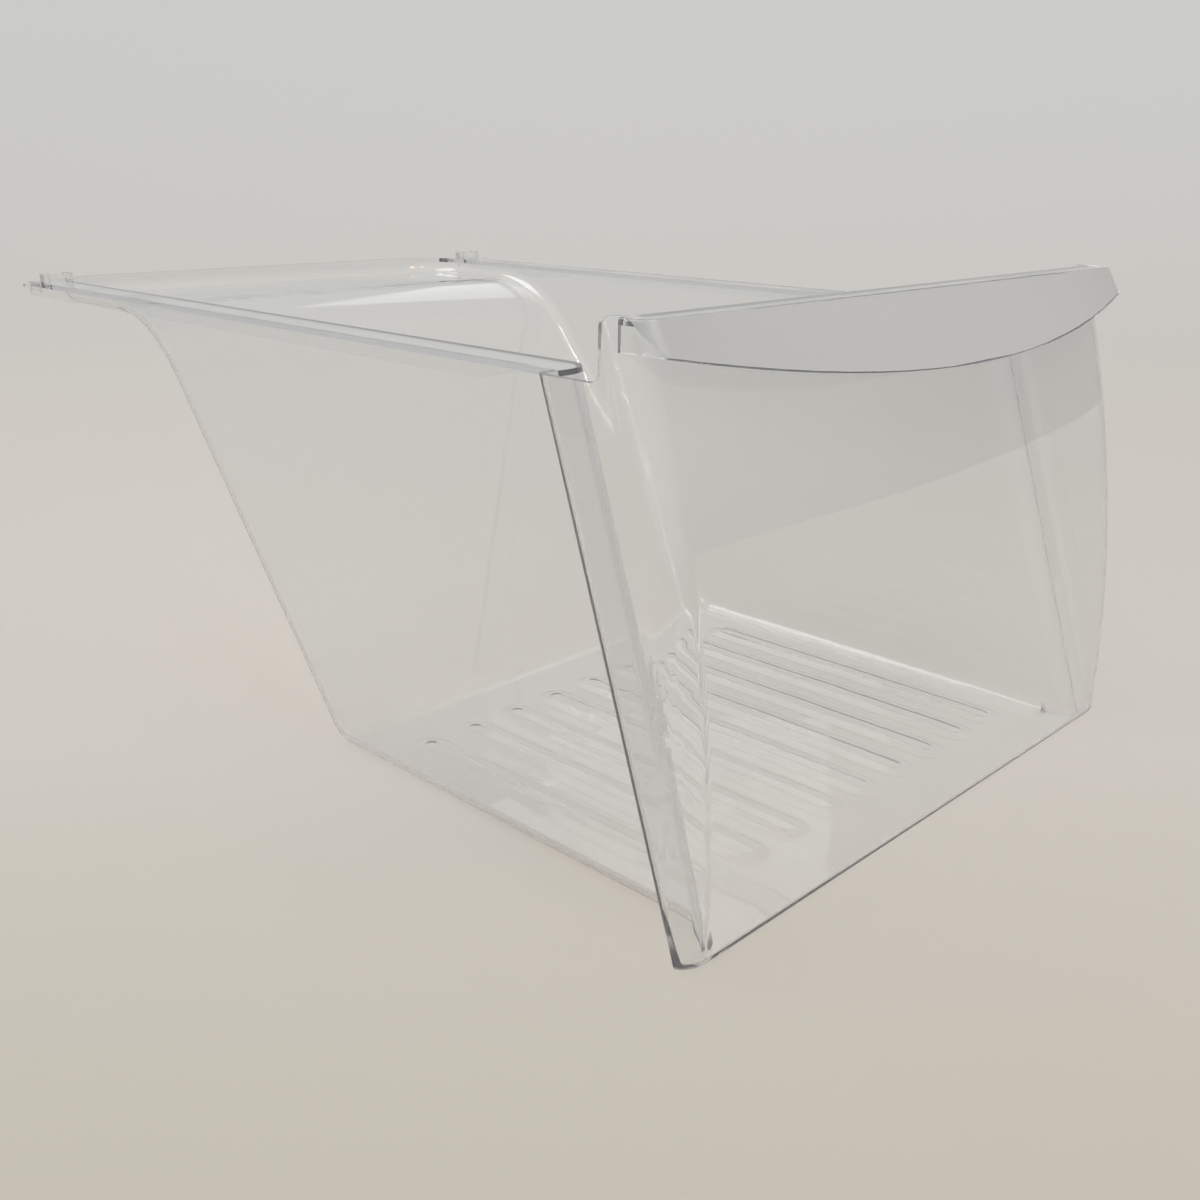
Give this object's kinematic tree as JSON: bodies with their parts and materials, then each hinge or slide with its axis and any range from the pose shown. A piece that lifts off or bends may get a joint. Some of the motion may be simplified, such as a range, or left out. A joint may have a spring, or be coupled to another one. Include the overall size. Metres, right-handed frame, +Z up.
{
  "type": "fridge crisper drawer",
  "caption": "Clear moulded fridge drawer with a bulging front that is wider than its tub, bowed frosted handle hood, side rails and a rear shelf over a sloping back wall.",
  "frame": {"origin": "centre of the drawer's footprint, on the surface it stands on", "axes": "+Y towards the rear shelf, -Y the front panel a user faces, +Z up, +X to the right for that user's view from the front"},
  "size_m": [0.308, 0.4706, 0.206],
  "materials": {
    "clear_polystyrene": "clear, with a frosted mould texture on the handle's outer face"
  },
  "bodies": {
    "root": {"crisper_drawer": "clear_polystyrene"}
  },
  "joints": []
}
